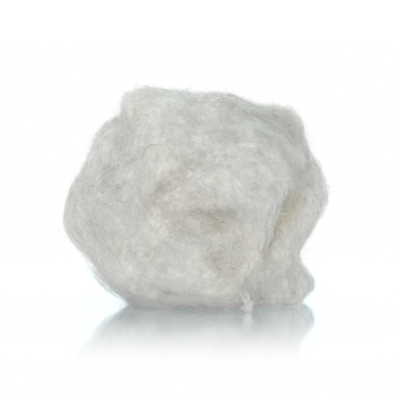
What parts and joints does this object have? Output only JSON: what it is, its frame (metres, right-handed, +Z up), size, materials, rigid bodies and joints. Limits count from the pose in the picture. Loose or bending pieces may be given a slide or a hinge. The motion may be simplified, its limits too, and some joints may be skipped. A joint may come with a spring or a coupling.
{
  "type": "wool fiber tuft",
  "caption": "Loose wad of undyed carded wool, folded in on itself into soft lobes and creases, resting on a flattened underside; soft filling and felting stock.",
  "frame": {"origin": "on the resting plane, under the middle of the tuft's bounding box", "axes": "+X to the right along the tuft's longest extent, -Y to the front seen in the picture, +Z up"},
  "size_m": [0.0686, 0.053, 0.0558],
  "materials": {
    "wool": "matt off-white raw wool, fuzzy with loose fibre"
  },
  "bodies": {
    "root": {"wool_tuft": "wool"}
  },
  "joints": []
}
